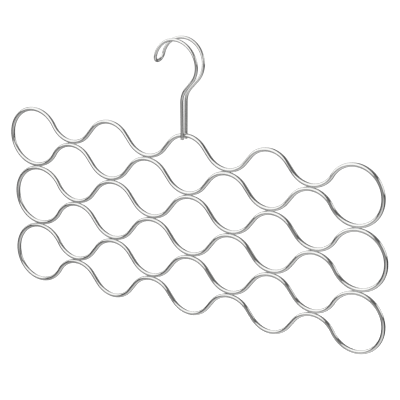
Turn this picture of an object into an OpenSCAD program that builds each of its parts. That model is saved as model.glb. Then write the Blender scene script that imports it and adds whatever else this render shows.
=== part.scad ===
// Scarf hanger of round chromed wire. Three closed loops, each with a line of round
// lobes, hang under a hook of thinner wire that is folded double at its tip.
// X runs along the rows, Y from front to back, Z up. The origin is the point inside
// the top of the hook where a rod bears on the wire.

/* [Rows] */
// Diameter of the wire in the three rows
row_wire_d = 4; // [3:0.1:5]
// Number of lobes in each row
lobes = 5; // [3:2:7]
// Distance from one lobe to the next
lobe_pitch = 90; // [84:1:96]
// Height of a crest above the middle of its row, to the middle of the wire
crest_height = 27.9; // [25:0.1:31]
// Radius of a crest's bend, to the middle of the wire
bend_radius = 25; // [22:0.5:28]
// Straight length of a flank, between a crest's bend and a neck's bend
flank_length = 9.8; // [4:0.2:14]
// How far the middle row sits to the right of the top row
middle_row_shift = 4.5; // [-8:0.1:8]
// How far the bottom row sits to the right of the top row
bottom_row_shift = 3.6; // [-8:0.1:8]

/* [Hook] */
// Diameter of the wire in the hook
hook_wire_d = 3; // [2:0.1:4]
// Width of the hook's opening, between the insides of the wire
hook_opening = 42.6; // [38:0.1:52]
// How far the middle of the opening lies to the left of the shaft
hook_reach = 5.1; // [2:0.1:8]
// How far the shaft stands to the left of the middle crest
shaft_shift = 2.8; // [-4:0.1:4]
// Straight length of the shaft above the crest
shaft_length = 31.6; // [20:0.1:60]
// Length of the shaft that stands out below the crest's wire
shaft_tail = 1.2; // [0.5:0.1:4]
// Slope of the sway between the shaft and the hook, from upright
sway_angle = 42; // [36:1:50]
// Radius of the sway at the top of the shaft, to the middle of the wire
sway_radius = 20; // [12:0.5:24]
// Angle at which the hook's curve ends, from level on the right
curve_end = 165; // [150:1:180]
// Straight length between the hook's curve and the fold at its tip
tip_lead = 0.1; // [0:0.1:8]
// Distance between the two legs over the rod, to the middle of the wire
leg_spread = 15; // [10:0.1:20]
// Distance between the two legs at the tip, to the middle of the wire
tip_width = 13; // [9:0.1:18]
// Bevel at the wire's two cut ends
end_bevel = 0.3; // [0.1:0.1:0.6]

/* [Welds] */
// How far each wire is pressed into a weld
weld_sink = 0.2; // [0.1:0.05:0.3]
// Thickness of the weld metal between two pressed wires
weld_core = 0.3; // [0.2:0.05:0.4]
// Length of a weld along the wires
weld_length = 9; // [7:0.5:11]
// Length of the middle of a weld, where it keeps its full width
weld_middle = 3; // [2:0.2:5]
// Width of a weld across the wires
weld_width = 2.9; // [2.6:0.1:3.2]
// Width that a weld tapers to at its two ends
weld_end_width = 0.7; // [0.5:0.1:1.2]
// Clearance between the rounded side of a weld and the wire
weld_fit = 0.03; // [0.02:0.01:0.05]
// Diameter of the round weld where a leg of the hook crosses the crest
collar_d = 3.8; // [3.2:0.1:4.4]
// Thickness of that weld, from front to back
collar_depth = 1.6; // [1.4:0.1:2]
// Bevel round the two rims of that weld
collar_bevel = 0.4; // [0.2:0.1:0.6]

/* [Hidden] */
$fn = 48;
fine_fn = 160;

// Two bends always have a short straight between them. A straight is a hair thinner than
// the bends at its ends and runs a little way into them.
bend_gap = 0.4;
seat_step = 0.1;
seat_depth = 0.2;
chrome = [0.78, 0.79, 0.81];
weld_metal = [0.62, 0.63, 0.65];

// Sizes that all wires share
end_lobe = (lobes - 1) / 2;
neck_half = row_wire_d / 2 - weld_sink;
pressed_rows = row_wire_d - 2 * weld_sink;
pressed_legs = row_wire_d + hook_wire_d - 4 * weld_sink;

// The wave of a row: a crest's bend and a neck's bend share a flank of the given length, so
// the pitch and the rise of the wave settle the sum of their radii
half_pitch = lobe_pitch / 2;
wave_rise = crest_height - neck_half;
both_radii = (pow(half_pitch, 2) + pow(wave_rise, 2) - pow(flank_length, 2)) / (2 * wave_rise);
neck_radius = both_radii - bend_radius;
wave_slope = atan2(both_radii, flank_length) - atan2(both_radii - wave_rise, half_pitch);
crest_centre = crest_height - bend_radius;
neck_centre = neck_half + neck_radius;

// The round end lobe runs straight on from the last neck bend
end_radius = crest_height;
end_step = sqrt(pow(neck_radius + end_radius, 2) - pow(neck_centre, 2));
end_x = (end_lobe - 0.5) * lobe_pitch + end_step;
end_slope = atan2(neck_centre, end_step);

// The hook, from the top of the shaft to the tip
hook_radius = (hook_opening + hook_wire_d) / 2;
hook_centre = [0, -hook_opening / 2];
sway_run = (hook_radius * cos(sway_angle) - hook_reach - sway_radius * (1 - cos(sway_angle)))
  / sin(sway_angle);
shaft_x = hook_reach;
shaft_top = hook_centre.y - (hook_radius + sway_radius) * sin(sway_angle)
  - sway_run * cos(sway_angle);
crest_z = shaft_top - shaft_length;

// Where each row lies: the middle of its mid-line, from the top row down
row_x = [for (s = [0, middle_row_shift, bottom_row_shift]) shaft_x + shaft_shift + s];
function drop(step) = 2 * crest_centre + sqrt(pow(2 * bend_radius + pressed_rows, 2) - step * step);
row_z = [
  crest_z - crest_height,
  crest_z - crest_height - drop(row_x[1] - row_x[0]),
  crest_z - crest_height - drop(row_x[1] - row_x[0]) - drop(row_x[2] - row_x[1])
];

function unit(v) = v / norm(v);
function turn(a, b, c) = acos(unit(b - a) * unit(c - b));

// Places children in a frame given by its origin and three unit vectors
module in_frame(origin, ex, ey, ez) {
  multmatrix([
    [ex.x, ey.x, ez.x, origin.x],
    [ex.y, ey.y, ez.y, origin.y],
    [ex.z, ey.z, ez.z, origin.z]
  ]) children();
}

// A round bar from p to q
module bar(p, q, d) {
  ez = unit(q - p);
  ex = unit(cross(abs(ez.y) < 0.9 ? [0, 1, 0] : [1, 0, 0], ez));
  in_frame(p, ex, cross(ez, ex), ez) cylinder(d = d, h = norm(q - p));
}

// A straight stretch of wire from p to q, that seats inside the bends at its ends
module straight(p, q, d) {
  into = unit(q - p) * seat_depth;
  bar(p - into, q + into, d - seat_step);
}

// An arc of wire in the plane of a row, centre [x, z], from one angle to another
module arc(centre, radius, from, to, d) {
  translate([centre.x, 0, centre.y]) rotate([90, 0, 0]) rotate([0, 0, from])
    rotate_extrude(angle = to - from) translate([radius, 0]) circle(d = d);
}

// A bend that rounds corner b between a and c, starting a given length before it
module bend(a, b, c, before, d) {
  u = unit(a - b);
  v = unit(c - b);
  angle = turn(a, b, c);
  radius = before / tan(angle / 2);
  centre = b + unit(u + v) * radius / cos(angle / 2);
  ex = unit(b + u * before - centre);
  ez = unit(cross(ex, b + v * before - centre));
  in_frame(centre, ex, cross(ez, ex), ez)
    rotate_extrude(angle = angle) translate([radius, 0]) circle(d = d);
}

// A wire through corner points, each corner rounded from the length in before
module bent_wire(points, before, d) {
  last = len(points) - 1;
  for (i = [1 : last - 1]) bend(points[i - 1], points[i], points[i + 1], before[i], d);
  for (i = [0 : last - 1]) {
    along = unit(points[i + 1] - points[i]);
    straight(points[i] + along * before[i], points[i + 1] - along * before[i + 1], d);
  }
}

// Angle that a bend gives up at one end to leave room for the short straight
function arc_trim(radius) = bend_gap / 2 / radius * 180 / PI;

// Lobes of a row: the centre of the bend that meets the next row, below or above
function lobe_radius(k) = abs(k) == end_lobe ? end_radius : bend_radius;
function lobe_centre(row, k, side) = abs(k) == end_lobe
  ? [row_x[row] + sign(k) * end_x, 0, row_z[row]]
  : [row_x[row] + k * lobe_pitch, 0, row_z[row] + side * crest_centre];

// Places children at the joint between a row and the next, Z towards the upper row
module at_joint(row, k) {
  above = lobe_centre(row, k, -1);
  below = lobe_centre(row + 1, k, 1);
  gap = above - below;
  translate((above + below) / 2) rotate([0, atan2(gap.x, gap.z), 0]) children();
}
function joint_half(row, k) =
  norm(lobe_centre(row, k, -1) - lobe_centre(row + 1, k, 1)) / 2 - lobe_radius(k);

// A block over the flat that pressing leaves on a wire, from the flat outwards
module pressed_block(side) {
  deep = row_wire_d / 2;
  shift = side * (weld_core + deep) / 2 - side * deep;
  translate([0, 0, shift]) cube([2 * weld_length, 2 * row_wire_d, deep], center = true);
}

// The upper half of a row's wave, between its end lobes, with its mid-line at the origin
module wave() {
  flank = [sin(wave_slope), cos(wave_slope)];
  neck_end = 90 - end_slope - arc_trim(neck_radius);
  difference() {
    union() {
      for (k = [1 - end_lobe : end_lobe - 1]) {
        arc([k * lobe_pitch, crest_centre], bend_radius, 90 - wave_slope, 90 + wave_slope,
          row_wire_d);
        for (s = [-1, 1]) straight(
          [k * lobe_pitch + s * bend_radius * flank.x, 0, crest_centre + bend_radius * flank.y],
          [k * lobe_pitch + s * (half_pitch - neck_radius * flank.x), 0,
            neck_centre - neck_radius * flank.y],
          row_wire_d);
      }
      for (k = [-end_lobe : end_lobe - 1]) arc(
        [(k + 0.5) * lobe_pitch, neck_centre], neck_radius,
        270 - (k == -end_lobe ? neck_end : wave_slope),
        270 + (k == end_lobe - 1 ? neck_end : wave_slope),
        row_wire_d);
      for (s = [-1, 1]) {
        meet = [s * (end_x - end_radius * cos(end_slope)), 0, end_radius * sin(end_slope)];
        along = [s * sin(end_slope), 0, cos(end_slope)] * bend_gap / 2;
        straight(meet - along, meet + along, row_wire_d);
      }
    }
    for (k = [-end_lobe : end_lobe - 1])
      translate([(k + 0.5) * lobe_pitch, 0, 0]) pressed_block(1);
  }
}

// One closed row, pressed flat where it meets the row above and the row below
module row_wire(row) {
  color(chrome) difference() {
    translate([row_x[row], 0, row_z[row]]) {
      wave();
      mirror([0, 0, 1]) wave();
      for (s = [0, 1]) mirror([s, 0, 0])
        arc([end_x, 0], end_radius, end_slope + arc_trim(end_radius) - 180,
          180 - end_slope - arc_trim(end_radius), row_wire_d);
    }
    if (row > 0) for (k = [-end_lobe : end_lobe]) at_joint(row - 1, k) pressed_block(-1);
    if (row < 2) for (k = [-end_lobe : end_lobe]) at_joint(row, k) pressed_block(1);
  }
}

// The crest that carries the hook, as the wire's own bend made wider by extra
module hook_crest(extra) {
  arc([row_x[0], row_z[0] + crest_centre], bend_radius, 90 - wave_slope, 90 + wave_slope,
    row_wire_d + extra);
}

// The hook: corners of the front leg from its foot to the tip, then back down behind
curve_turn = (sway_angle + curve_end) / 3;
curve_corner = hook_radius / cos(curve_turn / 2);
tip_along = [-sin(curve_end), cos(curve_end)];
tip_reach = tip_lead + tip_width / 2;
foot_z = crest_z - row_wire_d / 2 - shaft_tail;
sway_z = shaft_top + sway_radius * tan(sway_angle / 2);
sway_side = sway_run + sway_radius * tan(sway_angle / 2) + hook_radius * tan(curve_turn / 2);
sway_share = sway_side / (sway_side + 2 * hook_radius * tan(curve_turn / 2));
function on_curve(n) = hook_centre + curve_corner
  * [cos((n + 0.5) * curve_turn - sway_angle), sin((n + 0.5) * curve_turn - sway_angle)];
tip_point = hook_centre + hook_radius * [cos(curve_end), sin(curve_end)] + tip_reach * tip_along;
function corner(p, apart) = [p.x, apart / 2, p.y];
leg = [
  corner([shaft_x, foot_z], pressed_legs),
  corner([shaft_x, sway_z], pressed_legs),
  corner(on_curve(0), pressed_legs + (leg_spread - pressed_legs) * sway_share),
  corner(on_curve(1), leg_spread),
  corner(on_curve(2), tip_width),
  corner(tip_point, tip_width)
];
function front(p) = [p.x, -p.y, p.z];
hook_points = [
  for (i = [0 : 5]) front(leg[i]),
  for (i = [5 : -1 : 0]) leg[i]
];
curve_before = [for (i = [2 : 5]) norm(hook_points[i + 1] - hook_points[i]) / 2 - bend_gap / 2];
leg_before = [0, sway_radius * tan(sway_angle / 2), curve_before[0],
  min(curve_before[0], curve_before[1]), curve_before[1], curve_before[3]];
hook_before = [
  for (i = [0 : 5]) leg_before[i],
  for (i = [5 : -1 : 0]) leg_before[i]
];

module hook_wire() {
  color(chrome) difference() {
    bent_wire(hook_points, hook_before, hook_wire_d);
    hook_crest(2 * weld_fit);
    for (s = [-1, 1]) translate([shaft_x, s * pressed_legs / 2, foot_z]) end_ring();
  }
}

// What a bevel takes off the cut end of a leg
module end_ring() {
  rotate_extrude() polygon([
    [hook_wire_d / 2 - end_bevel, -end_bevel],
    [hook_wire_d / 2 - end_bevel, 0],
    [hook_wire_d / 2, end_bevel],
    [hook_wire_d, end_bevel],
    [hook_wire_d, -end_bevel]
  ]);
}

// A round body along Z that tapers from its full width in the middle to slim ends
module tapered(length, middle, width, end_width) {
  rotate_extrude() polygon([
    [0, -length / 2],
    [end_width / 2, -length / 2],
    [width / 2, -middle / 2],
    [width / 2, middle / 2],
    [end_width / 2, length / 2],
    [0, length / 2]
  ]);
}

// Weld metal between two pressed wires that bend away from each other, Z across them
module row_weld(radius, half) {
  spread = atan2(weld_length, radius);
  difference() {
    rotate([0, 90, 0]) tapered(weld_length, weld_middle, weld_width, weld_end_width);
    for (s = [0, 1]) mirror([0, 0, s]) intersection() {
      arc([0, half + radius], radius, 270 - spread, 270 + spread, row_wire_d + 2 * weld_fit,
        $fn = fine_fn);
      translate([-weld_length, -row_wire_d, weld_core / 2])
        cube([2 * weld_length, 2 * row_wire_d, 2 * row_wire_d]);
    }
  }
}

module neck_welds(row) {
  color(weld_metal) for (k = [-end_lobe : end_lobe - 1])
    translate([row_x[row] + (k + 0.5) * lobe_pitch, 0, row_z[row]])
      row_weld(neck_radius, neck_half);
}

module joint_welds(row) {
  color(weld_metal) for (k = [-end_lobe : end_lobe])
    at_joint(row, k) row_weld(lobe_radius(k), joint_half(row, k));
}

// A round body along Z with bevelled rims
module collar() {
  rim = collar_d / 2;
  face = collar_depth / 2;
  rotate_extrude() polygon([
    [0, -face],
    [rim - collar_bevel, -face],
    [rim, collar_bevel - face],
    [rim, face - collar_bevel],
    [rim - collar_bevel, face],
    [0, face]
  ]);
}

// Weld metal round the place where each leg of the hook crosses the crest
module hook_welds() {
  crossing_z = row_z[0] + crest_centre + sqrt(pow(bend_radius, 2) - pow(shaft_shift, 2));
  color(weld_metal) for (s = [-1, 1]) difference() {
    translate([shaft_x, s * neck_half, crossing_z]) rotate([90, 0, 0]) collar();
    hook_crest(2 * weld_fit);
    bar([shaft_x, s * pressed_legs / 2, foot_z], [shaft_x, s * pressed_legs / 2, shaft_top],
      hook_wire_d + 2 * weld_fit);
  }
}

row_wire(0);  // top_row_wire
row_wire(1);  // middle_row_wire
row_wire(2);  // bottom_row_wire
hook_wire();
neck_welds(0);  // top_row_neck_welds
neck_welds(1);  // middle_row_neck_welds
neck_welds(2);  // bottom_row_neck_welds
joint_welds(0);  // upper_joint_welds
joint_welds(1);  // lower_joint_welds
hook_welds();
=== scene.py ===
"""A wire scarf hanger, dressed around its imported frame.

Three closed rows of bright chromed wire hang under a hook of thinner wire that is folded
double. Every wire is carried along the line on which it is bent, as straights and round
bends one after the other, and every weld is a small bead of metal in the crevice between two
wires. A studio of soft boxes stands around it. All lengths are in metres, in the frame's own
axes: X along the rows, Y from the front to the back, Z up, with the origin at the point of the
hook that bears on the rod.
"""

from __future__ import annotations

import logging
import math
from dataclasses import dataclass, field
from enum import Enum

import bpy
import numpy as np
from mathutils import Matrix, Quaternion, Vector

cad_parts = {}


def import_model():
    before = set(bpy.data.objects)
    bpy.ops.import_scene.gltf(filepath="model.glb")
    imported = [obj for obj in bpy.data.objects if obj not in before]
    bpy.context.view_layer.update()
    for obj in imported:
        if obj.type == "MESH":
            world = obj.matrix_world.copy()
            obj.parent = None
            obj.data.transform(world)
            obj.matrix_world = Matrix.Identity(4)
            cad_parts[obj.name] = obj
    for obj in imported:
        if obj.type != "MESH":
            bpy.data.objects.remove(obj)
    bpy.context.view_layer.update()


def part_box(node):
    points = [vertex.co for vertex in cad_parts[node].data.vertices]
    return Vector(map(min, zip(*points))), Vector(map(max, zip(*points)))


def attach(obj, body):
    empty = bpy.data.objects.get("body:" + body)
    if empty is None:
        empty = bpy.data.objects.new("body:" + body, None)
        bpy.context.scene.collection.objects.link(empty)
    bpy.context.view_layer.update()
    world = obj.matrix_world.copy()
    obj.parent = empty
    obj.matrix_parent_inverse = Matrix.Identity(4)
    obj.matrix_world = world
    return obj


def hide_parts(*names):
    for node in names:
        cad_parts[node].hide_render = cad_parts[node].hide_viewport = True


log = logging.getLogger("scarf_hanger")

MM = 0.001
ROW_WIRE = 4 * MM
HOOK_WIRE = 3 * MM
BODY = "root"

UP = np.array([0.0, 0.0, 1.0])
RIGHT = np.array([1.0, 0.0, 0.0])
BACKWARD = np.array([0.0, 1.0, 0.0])
WHITE = (1.0, 1.0, 1.0, 1.0)


class Slot(Enum):
    """The record's material slots."""

    CHROME = "polished_chrome"
    WELD = "plated_weld"


def unit(vector: np.ndarray) -> np.ndarray:
    """Returns the vector at length one."""
    return vector / np.linalg.norm(vector)


def turned(vector: np.ndarray, axis: np.ndarray, angles: np.ndarray) -> np.ndarray:
    """Turns a vector about an axis by each of several angles.

    The turned vector is v cos a + (k x v) sin a + k (k . v)(1 - cos a), with k the axis.

    Args:
        vector: Three numbers.
        axis: Unit vector to turn about, by the right-hand rule.
        angles: Angles in radians.

    Returns:
        An array with one turned vector for each angle.
    """
    cosine = np.cos(angles)[:, None]
    sine = np.sin(angles)[:, None]
    along = axis * float(axis @ vector)
    return vector * cosine + np.cross(axis, vector) * sine + along * (1 - cosine)


# The line of a wire

@dataclass
class BentLine:
    """The middle line of a wire, made as a bender makes it: straight, bend, straight.

    It holds points with their direction and one normal, which turns with each bend and
    never twists about the line. The points stand about a step apart in a bend, and some
    steps apart on a straight.
    """

    point: np.ndarray
    direction: np.ndarray
    normal: np.ndarray
    step: float = 0.8 * MM
    straight_steps: int = 4
    fewest_in_bend: int = 3
    runs: list[tuple[np.ndarray, np.ndarray, np.ndarray]] = field(default_factory=list)

    def straight(self, length: float) -> None:
        """Goes on in a straight line.

        Args:
            length: How far it goes. Nothing is added where there is no room for it.
        """
        if length <= 0:
            return
        count = max(1, round(length / (self.straight_steps * self.step)))
        share = np.arange(count)[:, None] / count
        same = np.ones((count, 1))
        points = self.point + self.direction * length * share
        self.runs.append((points, same * self.direction, same * self.normal))
        self.point = self.point + self.direction * length

    def bend(self, axis: np.ndarray, radius: float, angle: float) -> None:
        """Bends about an axis, by the right-hand rule.

        Args:
            axis: Unit vector square to the line.
            radius: Radius of the bend, to the middle of the wire.
            angle: How far the line turns, in radians.
        """
        count = max(self.fewest_in_bend, math.ceil(radius * angle / self.step))
        angles = angle * np.arange(count + 1) / count
        centre = self.point + radius * np.cross(axis, self.direction)
        points = centre + turned(self.point - centre, axis, angles)
        directions = turned(self.direction, axis, angles)
        normals = turned(self.normal, axis, angles)
        self.runs.append((points[:-1], directions[:-1], normals[:-1]))
        self.point, self.direction, self.normal = points[-1], directions[-1], normals[-1]

    def through(self, corners: np.ndarray, before: np.ndarray) -> None:
        """Follows corner points, each one rounded from a given length in front of it.

        A corner that turns by an angle a, rounded from a length b in front, takes a bend
        of radius b / tan(a / 2).

        Args:
            corners: Points, the first one being where the line is now.
            before: For each corner, the length in front of it where its bend starts.
        """
        for i in range(1, len(corners)):
            leg = corners[i] - corners[i - 1]
            self.straight(float(np.linalg.norm(leg)) - before[i - 1] - before[i])
            if i + 1 < len(corners):
                onward = unit(corners[i + 1] - corners[i])
                axis = unit(np.cross(self.direction, onward))
                angle = math.acos(float(np.clip(self.direction @ onward, -1, 1)))
                self.bend(axis, before[i] / math.tan(angle / 2), angle)

    def arrays(self, closed: bool) -> tuple[np.ndarray, np.ndarray, np.ndarray]:
        """Joins all runs of the line.

        Args:
            closed: True where the line ends at its own start, which isn't repeated then.

        Returns:
            The points, directions and normals.
        """
        runs = list(self.runs)
        if not closed:
            runs.append((self.point[None], self.direction[None], self.normal[None]))
        points, directions, normals = (np.concatenate(part) for part in zip(*runs))
        return points, directions, normals


# Meshes

def ring_faces(rings: int, sides: int, closed: bool) -> np.ndarray:
    """Works out the quads of a tube whose vertices run round each ring in turn.

    Quad (i, j) joins corners j and j + 1 of ring i to the same corners of ring i + 1.

    Args:
        rings: How many rings the tube has.
        sides: How many vertices each ring has.
        closed: True where the last ring joins the first.

    Returns:
        An array of four vertex numbers for each quad.
    """
    i = np.arange(rings if closed else rings - 1)[:, None]
    j = np.arange(sides)[None, :]
    after = (i + 1) % rings
    beside = (j + 1) % sides
    quads = [i * sides + j, i * sides + beside, after * sides + beside, after * sides + j]
    return np.stack(quads, axis=-1).reshape(-1, 4)


def mesh_object(name: str, vertices: np.ndarray, quads: np.ndarray,
                caps: list[list[int]]) -> bpy.types.Object:
    """Makes a smooth-shaded object out of arrays.

    Args:
        name: The object's name.
        vertices: Array of points.
        quads: Array of four vertex numbers for each face.
        caps: Faces with more corners that close the ends.

    Returns:
        The new object, linked into the scene.
    """
    mesh = bpy.data.meshes.new(name)
    mesh.from_pydata(vertices.tolist(), [], quads.tolist() + caps)
    mesh.polygons.foreach_set("use_smooth", np.ones(len(mesh.polygons), dtype=bool))
    mesh.validate()
    mesh.update()
    piece = bpy.data.objects.new(name, mesh)
    bpy.context.scene.collection.objects.link(piece)
    return piece


@dataclass
class Flat:
    """A flat that pressing leaves on a wire: a point on it and the way that it faces.

    It works on the wire for its reach to either side, along the wire.
    """

    point: np.ndarray
    facing: np.ndarray
    along: np.ndarray
    reach: float

    def press(self, vertices: np.ndarray, middles: np.ndarray) -> np.ndarray:
        """Moves those vertices of a wire that stand beyond the flat back onto it.

        Args:
            vertices: The wire's vertices.
            middles: For each vertex, the point in the middle of the wire that it goes with.

        Returns:
            The vertices. Only those near the flat move whose middle lies behind it.
        """
        offset = vertices - self.point
        proud = offset @ self.facing
        behind = (middles - self.point) @ self.facing
        near = np.abs(offset @ self.along) < self.reach
        near &= (proud > 0) & (behind < 0) & (behind > -self.reach)
        return vertices - np.where(near, proud, 0.0)[:, None] * self.facing


@dataclass
class Wire:
    """Round wire of one thickness."""

    radius: float
    sides: int = 32
    bevel_rings: int = 6

    def skin(self, points: np.ndarray, directions: np.ndarray, normals: np.ndarray,
             radii: np.ndarray) -> np.ndarray:
        """Works out the wire's surface along a line.

        A point of ring i at angle a is p_i + r_i (n_i cos a + (t_i x n_i) sin a).

        Args:
            points: Middle of each ring, p.
            directions: The way that the wire runs there, t.
            normals: Unit vector square to it, n.
            radii: Radius of each ring, r.

        Returns:
            An array of points, ring by ring.
        """
        angle = 2 * math.pi * np.arange(self.sides) / self.sides
        beside = np.cross(directions, normals)
        spokes = (normals[:, None, :] * np.cos(angle)[None, :, None]
                  + beside[:, None, :] * np.sin(angle)[None, :, None])
        surface = points[:, None, :] + spokes * radii[:, None, None]
        return surface.reshape(-1, 3)

    def closed(self, name: str, line: BentLine, flats: list[Flat]) -> bpy.types.Object:
        """Makes a wire that closes on itself.

        Args:
            name: The new object's name.
            line: The line on which the wire is bent.
            flats: Where the wire is pressed.

        Returns:
            The wire's object.
        """
        points, directions, normals = line.arrays(closed=True)
        radii = np.full(len(points), self.radius)
        vertices = self.skin(points, directions, normals, radii)
        middles = np.repeat(points, self.sides, axis=0)
        for flat in flats:
            vertices = flat.press(vertices, middles)
        return mesh_object(name, vertices, ring_faces(len(points), self.sides, True), [])

    def open(self, name: str, line: BentLine, bevel: float) -> bpy.types.Object:
        """Makes a wire with two cut ends, each with a small round bevel.

        The bevel is a quarter circle: at an angle s, up to a right angle, the ring stands
        bevel (1 - sin s) in from the cut, at a radius less by bevel (1 - cos s).

        Args:
            name: The new object's name.
            line: The line on which the wire is bent.
            bevel: Radius of the bevel.

        Returns:
            The wire's object.
        """
        points, directions, normals = line.arrays(closed=False)
        turn = np.linspace(0, math.pi / 2, self.bevel_rings)
        inward = bevel * (1 - np.sin(turn))
        narrow = bevel * (1 - np.cos(turn))
        first = slice(0, 1)
        last = slice(-1, None)
        start = points[first] + directions[first] * (bevel - inward[::-1, None])
        finish = points[last] - directions[last] * (bevel - inward[:, None])
        rings = len(turn)
        points = np.concatenate([start, points[1:-1], finish])
        directions = np.concatenate([np.repeat(directions[first], rings, axis=0),
                                     directions[1:-1],
                                     np.repeat(directions[last], rings, axis=0)])
        normals = np.concatenate([np.repeat(normals[first], rings, axis=0), normals[1:-1],
                                  np.repeat(normals[last], rings, axis=0)])
        radii = np.full(len(points), self.radius)
        radii[:rings] -= narrow[::-1]
        radii[-rings:] -= narrow
        vertices = self.skin(points, directions, normals, radii)
        total = len(vertices)
        caps = [list(range(self.sides))[::-1], list(range(total - self.sides, total))]
        return mesh_object(name, vertices, ring_faces(len(points), self.sides, False), caps)


# Finishes

def add_node(tree: bpy.types.NodeTree, kind: str, **settings: object) -> bpy.types.Node:
    """Adds a shader node and sets its properties and the defaults of its inputs.

    Args:
        tree: The node tree.
        kind: The node's type, without the ShaderNode in front.
        settings: Properties by their name, and inputs by theirs, with _ for a space.

    Returns:
        The node.
    """
    node = tree.nodes.new("ShaderNode" + kind)
    for key, value in settings.items():
        if hasattr(node, key):
            setattr(node, key, value)
        else:
            node.inputs[key.replace("_", " ")].default_value = value
    return node


@dataclass(frozen=True)
class PlatedFinish:
    """Chrome plate: a metal with fine mottling of colour and gloss, and a shallow relief.

    Colour and shade are its palest and its darkest tone, and gloss is its lowest and its
    highest roughness. Grain is the scale of the mottling of colour, and times_finer is how
    much finer that of gloss is. A span is the part of the noise over which a value runs.
    Relief is the depth of the bump. Edge is the share of its brightness that the metal
    keeps at a grazing angle, which draws its dark outlines.
    """

    name: str
    colour: tuple[float, float, float]
    shade: tuple[float, float, float]
    gloss: tuple[float, float]
    grain: float
    relief: float
    edge: float
    times_finer: float = 14.0
    colour_span: tuple[float, float] = (0.35, 0.65)
    gloss_span: tuple[float, float] = (0.3, 0.7)
    bump_strength: float = 0.35

    def material(self) -> bpy.types.Material:
        """Builds the node material, on Object coordinates.

        Colour and roughness each run between two values, by noise at two scales, and a
        very shallow bump stands for the plate's orange peel.

        Returns:
            The material.
        """
        material = bpy.data.materials.new(self.name)
        material.use_nodes = True
        tree = material.node_tree
        tree.nodes.clear()
        link = tree.links.new
        place = add_node(tree, "TexCoord")
        coarse = add_node(tree, "TexNoise", Scale=self.grain, Detail=3.0, Roughness=0.55)
        fine = add_node(tree, "TexNoise", Scale=self.grain * self.times_finer, Detail=4.0,
                        Roughness=0.6)
        for noise in (coarse, fine):
            link(place.outputs["Object"], noise.inputs["Vector"])
        colours = add_node(tree, "ValToRGB")
        stops = zip(colours.color_ramp.elements, self.colour_span, (self.shade, self.colour))
        for stop, position, tone in stops:
            stop.position = position
            stop.color = (*tone, 1.0)
        link(coarse.outputs["Fac"], colours.inputs["Fac"])
        gloss = add_node(tree, "MapRange",
                         From_Min=self.gloss_span[0], From_Max=self.gloss_span[1],
                         To_Min=self.gloss[0], To_Max=self.gloss[1])
        link(fine.outputs["Fac"], gloss.inputs["Value"])
        bump = add_node(tree, "Bump", Strength=self.bump_strength, Distance=self.relief)
        link(fine.outputs["Fac"], bump.inputs["Height"])
        rim = (self.edge, self.edge, self.edge, 1.0)
        shader = add_node(tree, "BsdfPrincipled", Metallic=1.0, Specular_Tint=rim)
        link(colours.outputs["Color"], shader.inputs["Base Color"])
        link(gloss.outputs["Result"], shader.inputs["Roughness"])
        link(bump.outputs["Normal"], shader.inputs["Normal"])
        output = add_node(tree, "OutputMaterial")
        link(shader.outputs["BSDF"], output.inputs["Surface"])
        return material


POLISHED_CHROME = PlatedFinish(
    name="polished_chrome", colour=(0.81, 0.81, 0.80), shade=(0.775, 0.775, 0.765),
    gloss=(0.03, 0.07), grain=90.0, relief=0.00001, edge=0.15)
PLATED_WELD = PlatedFinish(
    name="plated_weld", colour=(0.66, 0.665, 0.67), shade=(0.52, 0.525, 0.535),
    gloss=(0.16, 0.32), grain=500.0, relief=0.00006, edge=0.15)


@dataclass
class Dresser:
    """Gives pieces their finish, slot and body, and says which nodes they stand for."""

    finishes: dict[Slot, bpy.types.Material]

    def dress(self, piece: bpy.types.Object, slot: Slot, node: str) -> None:
        """Finishes a piece and puts it in the place of a node.

        Args:
            piece: The new piece, already in place.
            slot: The material slot of its finish.
            node: The frame's node that it stands for.
        """
        piece.data.materials.append(self.finishes[slot])
        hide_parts(node)
        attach(piece, BODY)
        log.info("%s: %d faces, for %s", piece.name, len(piece.data.polygons), node)


# The rows

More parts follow.
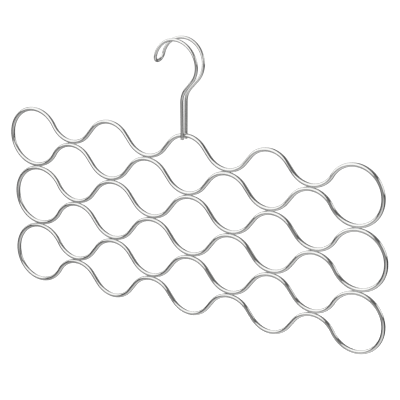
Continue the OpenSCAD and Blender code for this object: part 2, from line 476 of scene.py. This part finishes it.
@dataclass
class RowShape:
    """Sizes that all three rows share, and what follows from them.

    Lobes are numbered from the middle one, which is 0, negative ones to the left.
    """

    wire: Wire
    lobes: int = 5
    pitch: float = 90 * MM
    crest_height: float = 27.9 * MM
    bend_radius: float = 25 * MM
    flank: float = 9.8 * MM
    weld_sink: float = 0.2 * MM
    weld_core: float = 0.3 * MM

    @property
    def last(self) -> int:
        """Number of the end lobe on the right."""
        return (self.lobes - 1) // 2

    @property
    def neck_half(self) -> float:
        """Height of a neck's wire above the middle of the row."""
        return self.wire.radius - self.weld_sink

    @property
    def rise(self) -> float:
        """Height from a neck's wire to a crest's."""
        return self.crest_height - self.neck_half

    @property
    def both_radii(self) -> float:
        """Radii of a crest's bend and a neck's together.

        With the half pitch p, the rise h and a flank of length f they come to
        (p^2 + h^2 - f^2) / 2 h.
        """
        squares = (self.pitch / 2) ** 2 + self.rise ** 2 - self.flank ** 2
        return squares / (2 * self.rise)

    @property
    def neck_radius(self) -> float:
        """Radius of a neck's bend."""
        return self.both_radii - self.bend_radius

    @property
    def slope(self) -> float:
        """Angle at which the flanks rise between a neck and a crest."""
        lean = math.atan2(self.both_radii - self.rise, self.pitch / 2)
        return math.atan2(self.both_radii, self.flank) - lean

    @property
    def end_step(self) -> float:
        """Distance along the row from the last neck to the middle of the end lobe."""
        reach = self.neck_radius + self.crest_height
        return math.sqrt(reach ** 2 - (self.neck_half + self.neck_radius) ** 2)

    @property
    def end_slope(self) -> float:
        """Angle at which the last neck runs into the round end lobe."""
        return math.atan2(self.neck_half + self.neck_radius, self.end_step)

    def drop(self, step: float) -> float:
        """Works out how far a row hangs below the one above it.

        The bends of their crests are pressed together, so the centres of these bends are
        two radii and the two pressed wires apart.

        Args:
            step: How far the lower row stands to the side.

        Returns:
            The height between the middles of the two rows.
        """
        slanted = 2 * (self.bend_radius + self.neck_half)
        return 2 * (self.crest_height - self.bend_radius) + math.sqrt(slanted ** 2 - step ** 2)

    def lobe_offset(self, k: int) -> float:
        """Works out how far to the right of the row's middle a lobe is.

        Args:
            k: The lobe's number.

        Returns:
            The distance, negative to the left.
        """
        if abs(k) < self.last:
            return k * self.pitch
        return math.copysign((self.last - 0.5) * self.pitch + self.end_step, k)

    def lobe_radius(self, k: int) -> float:
        """Returns the radius of the bend with which lobe k meets the next row."""
        return self.crest_height if abs(k) == self.last else self.bend_radius

    def numbers(self) -> range:
        """Returns the numbers of the lobes, from left to right."""
        return range(-self.last, self.last + 1)


@dataclass
class Contact:
    """A place where two wires of the rows are pressed together and welded.

    Across is the unit vector from one wire to the other, half is the distance from the point
    to the middle of either wire, and radius is that of the bends that meet.
    """

    point: np.ndarray
    across: np.ndarray
    half: float
    radius: float
    flat_reach: float = 6 * MM

    @property
    def along(self) -> np.ndarray:
        """The way that the two wires run where they touch."""
        return np.cross(BACKWARD, self.across)

    def flat(self, side: int, core: float) -> Flat:
        """Works out the flat on one of the two wires.

        Args:
            side: 1 for the wire that across points to, and -1 for the other.
            core: Thickness of weld metal between the two flats.

        Returns:
            The flat.
        """
        return Flat(point=self.point + side * core / 2 * self.across,
                    facing=-side * self.across, along=self.along, reach=self.flat_reach)


@dataclass
class Row:
    """One closed row of wire, with the welds at its necks."""

    name: str
    shape: RowShape
    centre: np.ndarray

    @classmethod
    def top(cls, name: str, shape: RowShape) -> Row:
        """Places the top row by its node, whose crests nothing presses from above.

        Args:
            name: The row's name.
            shape: The sizes of all rows.

        Returns:
            The row.
        """
        low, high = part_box(name + "_wire")
        height = high.z - shape.wire.radius - shape.crest_height
        return cls(name, shape, np.array([(low.x + high.x) / 2, 0.0, height]))

    def under(self, name: str) -> Row:
        """Places the next row below this one, as far to the side as its node is.

        Args:
            name: The next row's name.

        Returns:
            The row.
        """
        low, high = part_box(name + "_wire")
        middle = (low.x + high.x) / 2
        height = self.centre[2] - self.shape.drop(middle - self.centre[0])
        return Row(name, self.shape, np.array([middle, 0.0, height]))

    def line(self) -> BentLine:
        """Bends the row, from the top of its middle crest once round clockwise.

        From a crest the wire turns down by the slope, runs down the flank, turns back
        through a neck by twice the slope, and so on to the round end lobe. The way back
        under the row repeats it, seen from the other end.

        Returns:
            The line, which ends where it starts.
        """
        shape = self.shape
        line = BentLine(self.centre + UP * shape.crest_height, RIGHT, UP)
        to_lobe = math.pi / 2 - shape.end_slope
        for _ in range(2):
            line.bend(BACKWARD, shape.bend_radius, shape.slope)
            for _ in range(shape.last - 1):
                line.straight(shape.flank)
                line.bend(-BACKWARD, shape.neck_radius, 2 * shape.slope)
                line.straight(shape.flank)
                line.bend(BACKWARD, shape.bend_radius, 2 * shape.slope)
            line.straight(shape.flank)
            line.bend(-BACKWARD, shape.neck_radius, shape.slope + to_lobe)
            line.bend(BACKWARD, shape.crest_height, 2 * (math.pi - shape.end_slope))
            line.bend(-BACKWARD, shape.neck_radius, shape.slope + to_lobe)
            for _ in range(shape.last - 1):
                line.straight(shape.flank)
                line.bend(BACKWARD, shape.bend_radius, 2 * shape.slope)
                line.straight(shape.flank)
                line.bend(-BACKWARD, shape.neck_radius, 2 * shape.slope)
            line.straight(shape.flank)
            line.bend(BACKWARD, shape.bend_radius, shape.slope)
        return line

    def necks(self) -> list[Contact]:
        """Returns the contacts where the row's own wire meets itself."""
        shape = self.shape
        return [Contact(self.centre + RIGHT * (k + 0.5) * shape.pitch, UP,
                        shape.neck_half, shape.neck_radius)
                for k in list(shape.numbers())[:-1]]

    def lobe_centre(self, k: int, side: int) -> np.ndarray:
        """Works out the centre of a lobe's upper or lower bend.

        Args:
            k: The lobe's number.
            side: 1 for the upper bend, and -1 for the lower one.

        Returns:
            The centre.
        """
        shape = self.shape
        lift = side * (shape.crest_height - shape.lobe_radius(k))
        return self.centre + RIGHT * shape.lobe_offset(k) + UP * lift

    def joints(self, below: Row) -> list[Contact]:
        """Works out where this row and the one below it touch.

        Args:
            below: The next row.

        Returns:
            One contact for each lobe, with across pointing up to this row.
        """
        found = []
        for k in self.shape.numbers():
            upper = self.lobe_centre(k, -1)
            lower = below.lobe_centre(k, 1)
            gap = upper - lower
            radius = self.shape.lobe_radius(k)
            half = float(np.linalg.norm(gap)) / 2 - radius
            found.append(Contact((upper + lower) / 2, unit(gap), half, radius))
        return found


@dataclass
class WeldBead:
    """The small bead that squeezes out between two pressed wires and fills the crevice.

    Seen from above it is a slim oval along the wires, widest in its middle. Its upper and
    lower faces lie just inside the two wires, and its sides are hollow, as molten metal
    that wets both wires leaves them.
    """

    wire: Wire
    core: float
    length: float = 8.4 * MM
    width: float = 2.9 * MM
    tip_width: float = 0.5 * MM
    bite: float = 0.06 * MM
    hollow: float = 0.45
    stations: int = 25
    face_points: int = 9
    side_points: int = 7

    def half_height(self, x: np.ndarray, y: np.ndarray, contact: Contact) -> np.ndarray:
        """Works out how high the bead's face stands above the middle plane.

        The wire's underside is half + (R - sqrt(R^2 - x^2)) - sqrt(r^2 - y^2), for a bend of
        radius R in wire of radius r, and never nearer than the pressed flat. The bead goes
        in by a small bite.

        Args:
            x: Places along the wires.
            y: Places from the front to the back.
            contact: Where the two wires touch.

        Returns:
            The heights.
        """
        bend = contact.radius - np.sqrt(contact.radius ** 2 - x ** 2)
        round_side = np.sqrt(self.wire.radius ** 2 - y ** 2)
        under = contact.half + bend - round_side
        return np.maximum(under, self.core / 2) + self.bite

    def surface(self, contact: Contact) -> np.ndarray:
        """Works out the rings of one bead, from one tip to the other, in place.

        A ring goes over the upper face, down the hollow side, back under the lower face and
        up the other side. At a share s of the way from the middle to a tip it is as wide as
        an oval, sqrt(1 - s^2), and its sides are dented by 1 - v^2 at a height v.

        Args:
            contact: Where the two wires touch.

        Returns:
            An array of points, by ring and by place round the ring.
        """
        share = np.linspace(-1, 1, self.stations)
        x = share * self.length / 2
        oval = np.sqrt(np.clip(1 - share ** 2, 0, 1))
        wide = self.tip_width / 2 + (self.width - self.tip_width) / 2 * oval
        face = np.linspace(-1, 1, self.face_points)
        side = np.cos(np.linspace(0, math.pi, self.side_points + 2))[1:-1]
        edge = self.half_height(x, wide, contact)
        top_y = wide[:, None] * face[None, :]
        top_z = self.half_height(x[:, None], top_y, contact)
        dent = self.hollow * np.minimum(edge, wide / 2)[:, None] * (1 - side ** 2)[None, :]
        side_y = wide[:, None] - dent
        side_z = edge[:, None] * side[None, :]
        y = np.concatenate([top_y, side_y, top_y[:, ::-1], -side_y[:, ::-1]], axis=1)
        z = np.concatenate([top_z, side_z, -top_z[:, ::-1], side_z[:, ::-1]], axis=1)
        return (contact.point
                + x[:, None, None] * contact.along
                + y[:, :, None] * BACKWARD
                + z[:, :, None] * contact.across)

    def group(self, name: str, contacts: list[Contact]) -> bpy.types.Object:
        """Makes one object out of the beads at several contacts.

        Args:
            name: The new object's name.
            contacts: Where the beads go.

        Returns:
            The object, in which each bead is closed by itself.
        """
        vertices, quads, caps = [], [], []
        start = 0
        for contact in contacts:
            rings = self.surface(contact)
            count, sides = rings.shape[:2]
            vertices.append(rings.reshape(-1, 3))
            quads.append(ring_faces(count, sides, False)[:, ::-1] + start)
            first = list(range(start, start + sides))
            end = start + count * sides
            caps += [first, list(range(end - sides, end))[::-1]]
            start = end
        return mesh_object(name, np.concatenate(vertices), np.concatenate(quads), caps)


@dataclass
class Rows:
    """The three rows and all welds in and between them."""

    shape: RowShape
    names: tuple[str, ...] = ("top_row", "middle_row", "bottom_row")
    joint_names: tuple[str, ...] = ("upper_joint", "lower_joint")

    def build(self, dresser: Dresser) -> Row:
        """Builds and dresses the wires and the welds.

        Args:
            dresser: What finishes the pieces.

        Returns:
            The top row, which carries the hook.
        """
        shape = self.shape
        rows = [Row.top(self.names[0], shape)]
        for name in self.names[1:]:
            rows.append(rows[-1].under(name))
        joints = [upper.joints(lower) for upper, lower in zip(rows, rows[1:])]
        bead = WeldBead(shape.wire, shape.weld_core)
        for number, row in enumerate(rows):
            flats = [contact.flat(side, shape.weld_core)
                     for contact in row.necks() for side in (1, -1)]
            if number:
                flats += [joint.flat(-1, shape.weld_core) for joint in joints[number - 1]]
            if number < len(joints):
                flats += [joint.flat(1, shape.weld_core) for joint in joints[number]]
            wire = shape.wire.closed(row.name + "_loop", row.line(), flats)
            dresser.dress(wire, Slot.CHROME, row.name + "_wire")
            beads = bead.group(row.name + "_neck_beads", row.necks())
            dresser.dress(beads, Slot.WELD, row.name + "_neck_welds")
        for name, joint in zip(self.joint_names, joints):
            beads = bead.group(name + "_beads", joint)
            dresser.dress(beads, Slot.WELD, name + "_welds")
        return rows[0]


# The hook

CURVE_BENDS = 3


@dataclass
class Hook:
    """The hook of doubled wire: up the front leg, round the hook, and back down behind.

    The legs part on the way from the shaft's top to the rod, and draw closer again to the
    tip. The curve is three equal bends: before the rod, over it and past it.
    """

    wire: Wire
    opening: float = 42.6 * MM
    reach: float = 5.1 * MM
    shaft_tail: float = 2.0 * MM
    sway_angle: float = math.radians(42)
    sway_radius: float = 20 * MM
    curve_end: float = math.radians(165)
    tip_lead: float = 0.1 * MM
    leg_spread: float = 15 * MM
    shaft_opening: float = 1.0 * MM
    tip_width: float = 13 * MM
    bend_gap: float = 0.4 * MM
    end_bevel: float = 0.3 * MM
    line_step: float = 0.5 * MM

    def plane_point(self, angle: float, distance: float) -> np.ndarray:
        """Works out a point of the hook's curve, seen from the front.

        Args:
            angle: Its angle above the right, in radians.
            distance: Its distance from the curve's middle.

        Returns:
            Its place to the right and up.
        """
        x = distance * math.cos(angle)
        z = distance * math.sin(angle) - self.opening / 2
        return np.array([x, z])

    def corners(self, crest_height: float, legs: float, row_wire: float) -> np.ndarray:
        """Works out the corners that the wire turns at, from one foot to the other.

        The bends of the curve lie round one circle, so their corners lie on a wider one,
        at the radius over the cosine of half a bend.

        Args:
            crest_height: Height of the middle line of the crest that carries the hook.
            legs: Distance between the two legs at the shaft's foot.
            row_wire: Radius of the row's wire.

        Returns:
            The corners, with both feet.
        """
        radius = self.opening / 2 + self.wire.radius
        turn = (self.sway_angle + self.curve_end) / CURVE_BENDS
        distance = radius / math.cos(turn / 2)
        sine, cosine = math.sin(self.sway_angle), math.cos(self.sway_angle)
        run = (radius * cosine - self.reach - self.sway_radius * (1 - cosine)) / sine
        shaft_top = -self.opening / 2 - (radius + self.sway_radius) * sine - run * cosine
        sway_lead = self.sway_radius * math.tan(self.sway_angle / 2)
        side = run + sway_lead + radius * math.tan(turn / 2)
        share = side / (side + 2 * radius * math.tan(turn / 2))
        foot = crest_height - row_wire - self.shaft_tail
        tip = self.plane_point(self.curve_end, radius)
        tip_reach = self.tip_lead + self.tip_width / 2
        tip = tip + tip_reach * np.array([-math.sin(self.curve_end), math.cos(self.curve_end)])
        flat = [np.array([self.reach, foot]), np.array([self.reach, shaft_top + sway_lead])]
        flat += [self.plane_point((n + 0.5) * turn - self.sway_angle, distance)
                 for n in range(CURVE_BENDS)]
        flat.append(tip)
        # The legs part evenly on the way from the shaft's top to the corner over the rod.
        opened = legs + self.shaft_opening
        apart = [legs, opened, opened + (self.leg_spread - opened) * share,
                 self.leg_spread, self.tip_width, self.tip_width]
        half = np.array([[p[0], wide / 2, p[1]] for p, wide in zip(flat, apart)])
        front = half * np.array([1.0, -1.0, 1.0])
        return np.concatenate([front, half[::-1]])

    def before(self, corners: np.ndarray) -> np.ndarray:
        """Works out how far in front of each corner its bend starts.

        On the curve and at the tip a bend starts half way from the corner before it.

        Args:
            corners: All corners, with both feet.

        Returns:
            A length for each corner.
        """
        half = np.linalg.norm(np.diff(corners, axis=0), axis=1) / 2 - self.bend_gap / 2
        sway = self.sway_radius * math.tan(self.sway_angle / 2)
        # The foot, the sway, the three bends of the curve and the tip.
        leg = [0.0, sway, half[2], min(half[2], half[3]), half[3], half[5]]
        return np.array(leg + leg[::-1])

    def line(self, corners: np.ndarray) -> BentLine:
        """Bends the hook's wire.

        Args:
            corners: All corners, with both feet.

        Returns:
            The line, from the front foot to the rear one.
        """
        line = BentLine(corners[0], unit(corners[1] - corners[0]), -RIGHT, self.line_step)
        line.through(corners, self.before(corners))
        return line

    def build(self, top_row: Row, dresser: Dresser) -> None:
        """Builds and dresses the hook's wire and the two beads that hold it.

        The legs bear on the crest from both sides, each pressed in by two weld sinks.

        Args:
            top_row: The row whose middle crest carries the hook.
            dresser: What finishes the pieces.
        """
        shape = top_row.shape
        row_wire = shape.wire.radius
        crest_top = float(top_row.centre[2]) + shape.crest_height
        legs = 2 * (row_wire + self.wire.radius) - 4 * shape.weld_sink
        corners = self.corners(crest_top, legs, row_wire)
        wire = self.wire.open("hook_loop", self.line(corners), self.end_bevel)
        dresser.dress(wire, Slot.CHROME, "hook_wire")
        off_centre = self.reach - float(top_row.centre[0])
        drop = shape.bend_radius - math.sqrt(shape.bend_radius ** 2 - off_centre ** 2)
        crossing = np.array([self.reach, 0.0, crest_top - drop])
        bead = HookBead(row_wire, legs)
        dresser.dress(bead.pair("hook_beads", crossing), Slot.WELD, "hook_welds")


@dataclass
class HookBead:
    """The round bead of weld where a leg of the hook crosses the crest in front or behind."""

    row_wire: float
    legs: float
    rim: float = 1.85 * MM
    half_thickness: float = 0.72 * MM
    inset: float = 0.7 * MM
    rings: int = 17
    sides: int = 32

    def surface(self, centre: np.ndarray) -> np.ndarray:
        """Works out the rings of a bead, a flattened ball with its short way along Y.

        At an angle b from pole to pole the ring has radius rim sin(b) and stands
        half_thickness cos(b) along Y.

        Args:
            centre: Middle of the bead.

        Returns:
            An array of points, by ring and by place round the ring.
        """
        pole = np.linspace(0, math.pi, self.rings + 2)[1:-1]
        angle = 2 * math.pi * np.arange(self.sides) / self.sides
        radius = self.rim * np.sin(pole)
        x = radius[:, None] * np.cos(angle)[None, :]
        z = radius[:, None] * np.sin(angle)[None, :]
        y = np.repeat(self.half_thickness * np.cos(pole)[:, None], self.sides, axis=1)
        return centre + np.stack([x, y, z], axis=-1)

    def pair(self, name: str, crossing: np.ndarray) -> bpy.types.Object:
        """Makes the front and the rear bead as one object.

        Args:
            name: The new object's name.
            crossing: Where the legs pass the crest, in the middle between them.

        Returns:
            The object, in which each bead is closed by itself.
        """
        vertices, quads, caps = [], [], []
        depth = (self.legs / 2 + self.row_wire) / 2 - self.inset
        size = self.rings * self.sides
        for number, side in enumerate((-1, 1)):
            start = number * size
            rings = self.surface(crossing + side * depth * BACKWARD)
            vertices.append(rings.reshape(-1, 3))
            quads.append(ring_faces(self.rings, self.sides, False) + start)
            caps.append(list(range(start, start + self.sides))[::-1])
            caps.append(list(range(start + size - self.sides, start + size)))
        return mesh_object(name, np.concatenate(vertices), np.concatenate(quads), caps)


# The studio

def toward(bearing: float, height: float) -> Vector:
    """Works out the unit vector of a direction.

    Args:
        bearing: Degrees from the right, negative to the front.
        height: Degrees above level.

    Returns:
        The vector.
    """
    turn, lift = math.radians(bearing), math.radians(height)
    level = math.cos(lift)
    return Vector((level * math.cos(turn), level * math.sin(turn), math.sin(lift)))


@dataclass(frozen=True)
class Card:
    """A round part of the far room that is paler or darker, as the chrome mirrors it.

    It stands at a bearing and height. It is even out to one angle from its middle and fades
    away over the next, all in degrees.
    """

    name: str
    bearing: float
    height: float
    even: float
    fade: float
    strength: float

    def shade(self, tree: bpy.types.NodeTree,
              direction: bpy.types.NodeSocket) -> bpy.types.NodeSocket:
        """Adds the nodes that say how much the card adds in a direction.

        The cosine of the angle to the card's middle is mapped smoothly, from nothing at the
        rim to the card's strength inside.

        Args:
            tree: The world's node tree.
            direction: Output with the mirrored direction.

        Returns:
            Output with the brightness.
        """
        cosine = add_node(tree, "VectorMath", operation="DOT_PRODUCT")
        tree.links.new(direction, cosine.inputs[0])
        cosine.inputs[1].default_value = toward(self.bearing, self.height)
        strength = add_node(tree, "MapRange", label=self.name, interpolation_type="SMOOTHSTEP",
                            From_Min=math.cos(math.radians(self.even + self.fade)),
                            From_Max=math.cos(math.radians(self.even)),
                            To_Min=0.0, To_Max=self.strength)
        tree.links.new(cosine.outputs["Value"], strength.inputs["Value"])
        return strength.outputs["Result"]


@dataclass(frozen=True)
class SoftBox:
    """A flat oval soft box near the hanger, facing it and evenly bright.

    It stands at a bearing and height, at a distance in metres from the middle of the hanger.
    Its half width and half height are the angles at which they are seen from there, and roll
    turns it in its own plane, all in degrees.
    """

    name: str
    bearing: float
    height: float
    half_width: float
    half_height: float
    strength: float
    distance: float
    roll: float

    def hang(self, middle: Vector) -> None:
        """Hangs the box as an area lamp.

        The lamp's power is pi times its area times the brightness that its face shows.

        Args:
            middle: The middle of the hanger.
        """
        away = toward(self.bearing, self.height)
        half = [self.distance * math.tan(math.radians(angle))
                for angle in (self.half_width, self.half_height)]
        data = bpy.data.lights.new(self.name, "AREA")
        data.shape = "ELLIPSE"
        data.size, data.size_y = 2 * half[0], 2 * half[1]
        data.energy = math.pi * (math.pi * half[0] * half[1]) * self.strength
        lamp = bpy.data.objects.new(self.name, data)
        bpy.context.scene.collection.objects.link(lamp)
        lamp.location = middle + away * self.distance
        lamp.rotation_mode = "QUATERNION"
        turn = Quaternion((0.0, 0.0, 1.0), math.radians(self.roll))
        lamp.rotation_quaternion = away.to_track_quat("Z", "Y") @ turn
        lamp.visible_camera = False


SOFT_BOXES = (
    SoftBox("key_box", -120, 39, 44, 44, 1.01, 0.58, -21),
    SoftBox("right_box", 5, 20, 21, 17, 1.00, 0.68, 4),
    SoftBox("right_wall", 49, 25, 26, 10, 0.20, 0.95, -6),
    SoftBox("pale_table", -46, -54, 52, 25, 0.42, 0.50, 67),
    SoftBox("left_wall", -168, 16, 12, 16, 0.83, 5.00, 27),
    SoftBox("backdrop", 130, 4, 44, 24, 1.00, 1.80, -4),
    SoftBox("rear_key", 62, 6, 24, 14, 0.55, 2.50, 0),
    SoftBox("rear_box", 146, 40, 26, 16, 0.80, 2.74, 8),
)
CARDS = (
    Card("far_table", -104, -49, 35, 40, 0.20),
    Card("dark_ceiling", -16, 55, 7, 10, -0.46),
    Card("dark_right_side", 17, -16, 15, 14, -0.52),
    Card("gap_under_key_box", -148, -9, 9, 16, -0.81),
    Card("edge_over_backdrop", 122, 21, 16, 23, -0.50),
)


@dataclass
class Studio:
    """The studio: camera, pale floor, soft boxes near the hanger, and a plain white room.

    Chrome doesn't mirror the white room and floor, but the boxes and a grey room with its
    cards, because a mirror in a white room would be white all over. The camera aims at the
    target, and the boxes hang round the middle.
    """

    target: tuple[float, float, float] = (23.0 * MM, 0.0, -149.1 * MM)
    middle: tuple[float, float, float] = (10.0 * MM, 0.0, -150.0 * MM)
    azimuth: float = math.radians(34.04)
    elevation: float = math.radians(16.78)
    distance: float = 1.756
    focal_pixels: float = 1881.8
    frame_pixels: int = 400
    sensor: float = 36.0
    clip: tuple[float, float] = (0.05, 100.0)
    floor_depth: float = 0.9
    floor_size: float = 30.0
    floor_tone: float = 0.5
    floor_glow: float = 0.7
    room_light: float = 0.8
    mirrored_room: float = 0.19
    darkest: float = 0.01

    def camera(self) -> None:
        """Sets up the camera, without roll, with the lens that the photograph asks for."""
        data = bpy.data.cameras.new("camera")
        data.sensor_width = self.sensor
        data.lens = self.focal_pixels * self.sensor / self.frame_pixels
        data.clip_start, data.clip_end = self.clip
        camera = bpy.data.objects.new("camera", data)
        bpy.context.scene.collection.objects.link(camera)
        level = math.cos(self.elevation)
        back = Vector((math.sin(self.azimuth) * level, -math.cos(self.azimuth) * level,
                       math.sin(self.elevation)))
        camera.location = Vector(self.target) + back * self.distance
        camera.rotation_mode = "QUATERNION"
        camera.rotation_quaternion = (-back).to_track_quat("-Z", "Y")
        bpy.context.scene.camera = camera

    def floor(self) -> None:
        """Lays a pale floor well under the hanging object.

        It glows for the camera alone, and mirrored rays pass through it to the grey room.
        """
        half = self.floor_size / 2
        corners = np.array([[-1, -1, 0], [1, -1, 0], [1, 1, 0], [-1, 1, 0]]) * half
        vertices = corners - UP * self.floor_depth
        floor = mesh_object("floor", vertices, np.array([[0, 1, 2, 3]]), [])
        material = bpy.data.materials.new("floor_paint")
        material.use_nodes = True
        tree = material.node_tree
        tree.nodes.clear()
        paint = add_node(tree, "BsdfDiffuse", Color=(*[self.floor_tone] * 3, 1.0))
        glow = add_node(tree, "Emission", Color=WHITE)
        path = add_node(tree, "LightPath")
        strength = add_node(tree, "Math", operation="MULTIPLY")
        strength.inputs[1].default_value = self.floor_glow
        tree.links.new(path.outputs["Is Camera Ray"], strength.inputs[0])
        tree.links.new(strength.outputs[0], glow.inputs["Strength"])
        both = add_node(tree, "AddShader")
        tree.links.new(paint.outputs[0], both.inputs[0])
        tree.links.new(glow.outputs[0], both.inputs[1])
        clear = add_node(tree, "BsdfTransparent")
        seen = add_node(tree, "MixShader")
        tree.links.new(path.outputs["Is Glossy Ray"], seen.inputs["Fac"])
        tree.links.new(both.outputs[0], seen.inputs[1])
        tree.links.new(clear.outputs[0], seen.inputs[2])
        output = add_node(tree, "OutputMaterial")
        tree.links.new(seen.outputs[0], output.inputs["Surface"])
        floor.data.materials.append(material)

    def lamps(self) -> None:
        """Hangs the soft boxes."""
        for box in SOFT_BOXES:
            box.hang(Vector(self.middle))

    def world(self) -> None:
        """Makes the white room and the grey one that chrome mirrors.

        For a mirrored direction the brightness is the grey room's own and what each card
        adds, and never less than the darkest.
        """
        world = bpy.data.worlds.new("room")
        bpy.context.scene.world = world
        world.use_nodes = True
        tree = world.node_tree
        tree.nodes.clear()
        link = tree.links.new
        place = add_node(tree, "TexCoord")
        total = add_node(tree, "Math", operation="ADD")
        total.inputs[0].default_value, total.inputs[1].default_value = self.mirrored_room, 0.0
        for card in CARDS:
            both = add_node(tree, "Math", operation="ADD")
            link(total.outputs[0], both.inputs[0])
            link(card.shade(tree, place.outputs["Generated"]), both.inputs[1])
            total = both
        least = add_node(tree, "Math", operation="MAXIMUM")
        least.inputs[1].default_value = self.darkest
        link(total.outputs[0], least.inputs[0])
        mirrored = add_node(tree, "Background")
        link(least.outputs[0], mirrored.inputs["Color"])
        plain = add_node(tree, "Background", Color=WHITE, Strength=self.room_light)
        white = add_node(tree, "Background", Color=WHITE, Strength=1.0)
        path = add_node(tree, "LightPath")
        first = add_node(tree, "MixShader")
        link(path.outputs["Is Glossy Ray"], first.inputs["Fac"])
        link(plain.outputs[0], first.inputs[1])
        link(mirrored.outputs[0], first.inputs[2])
        second = add_node(tree, "MixShader")
        link(path.outputs["Is Camera Ray"], second.inputs["Fac"])
        link(first.outputs[0], second.inputs[1])
        link(white.outputs[0], second.inputs[2])
        output = add_node(tree, "OutputWorld")
        link(second.outputs[0], output.inputs["Surface"])

    def build(self) -> None:
        """Builds the whole studio."""
        self.camera()
        self.floor()
        self.lamps()
        self.world()
        bpy.context.scene.view_settings.view_transform = "Standard"
        log.info("studio: camera, floor, room and %d soft boxes", len(SOFT_BOXES))


def main() -> None:
    """Builds the hanger and its studio."""
    logging.basicConfig(level=logging.INFO, format="%(name)s: %(message)s")
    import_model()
    Studio().build()
    dresser = Dresser({Slot.CHROME: POLISHED_CHROME.material(),
                       Slot.WELD: PLATED_WELD.material()})
    top_row = Rows(RowShape(Wire(ROW_WIRE / 2))).build(dresser)
    Hook(Wire(HOOK_WIRE / 2, sides=28)).build(top_row, dresser)


if __name__ == "__main__":
    main()
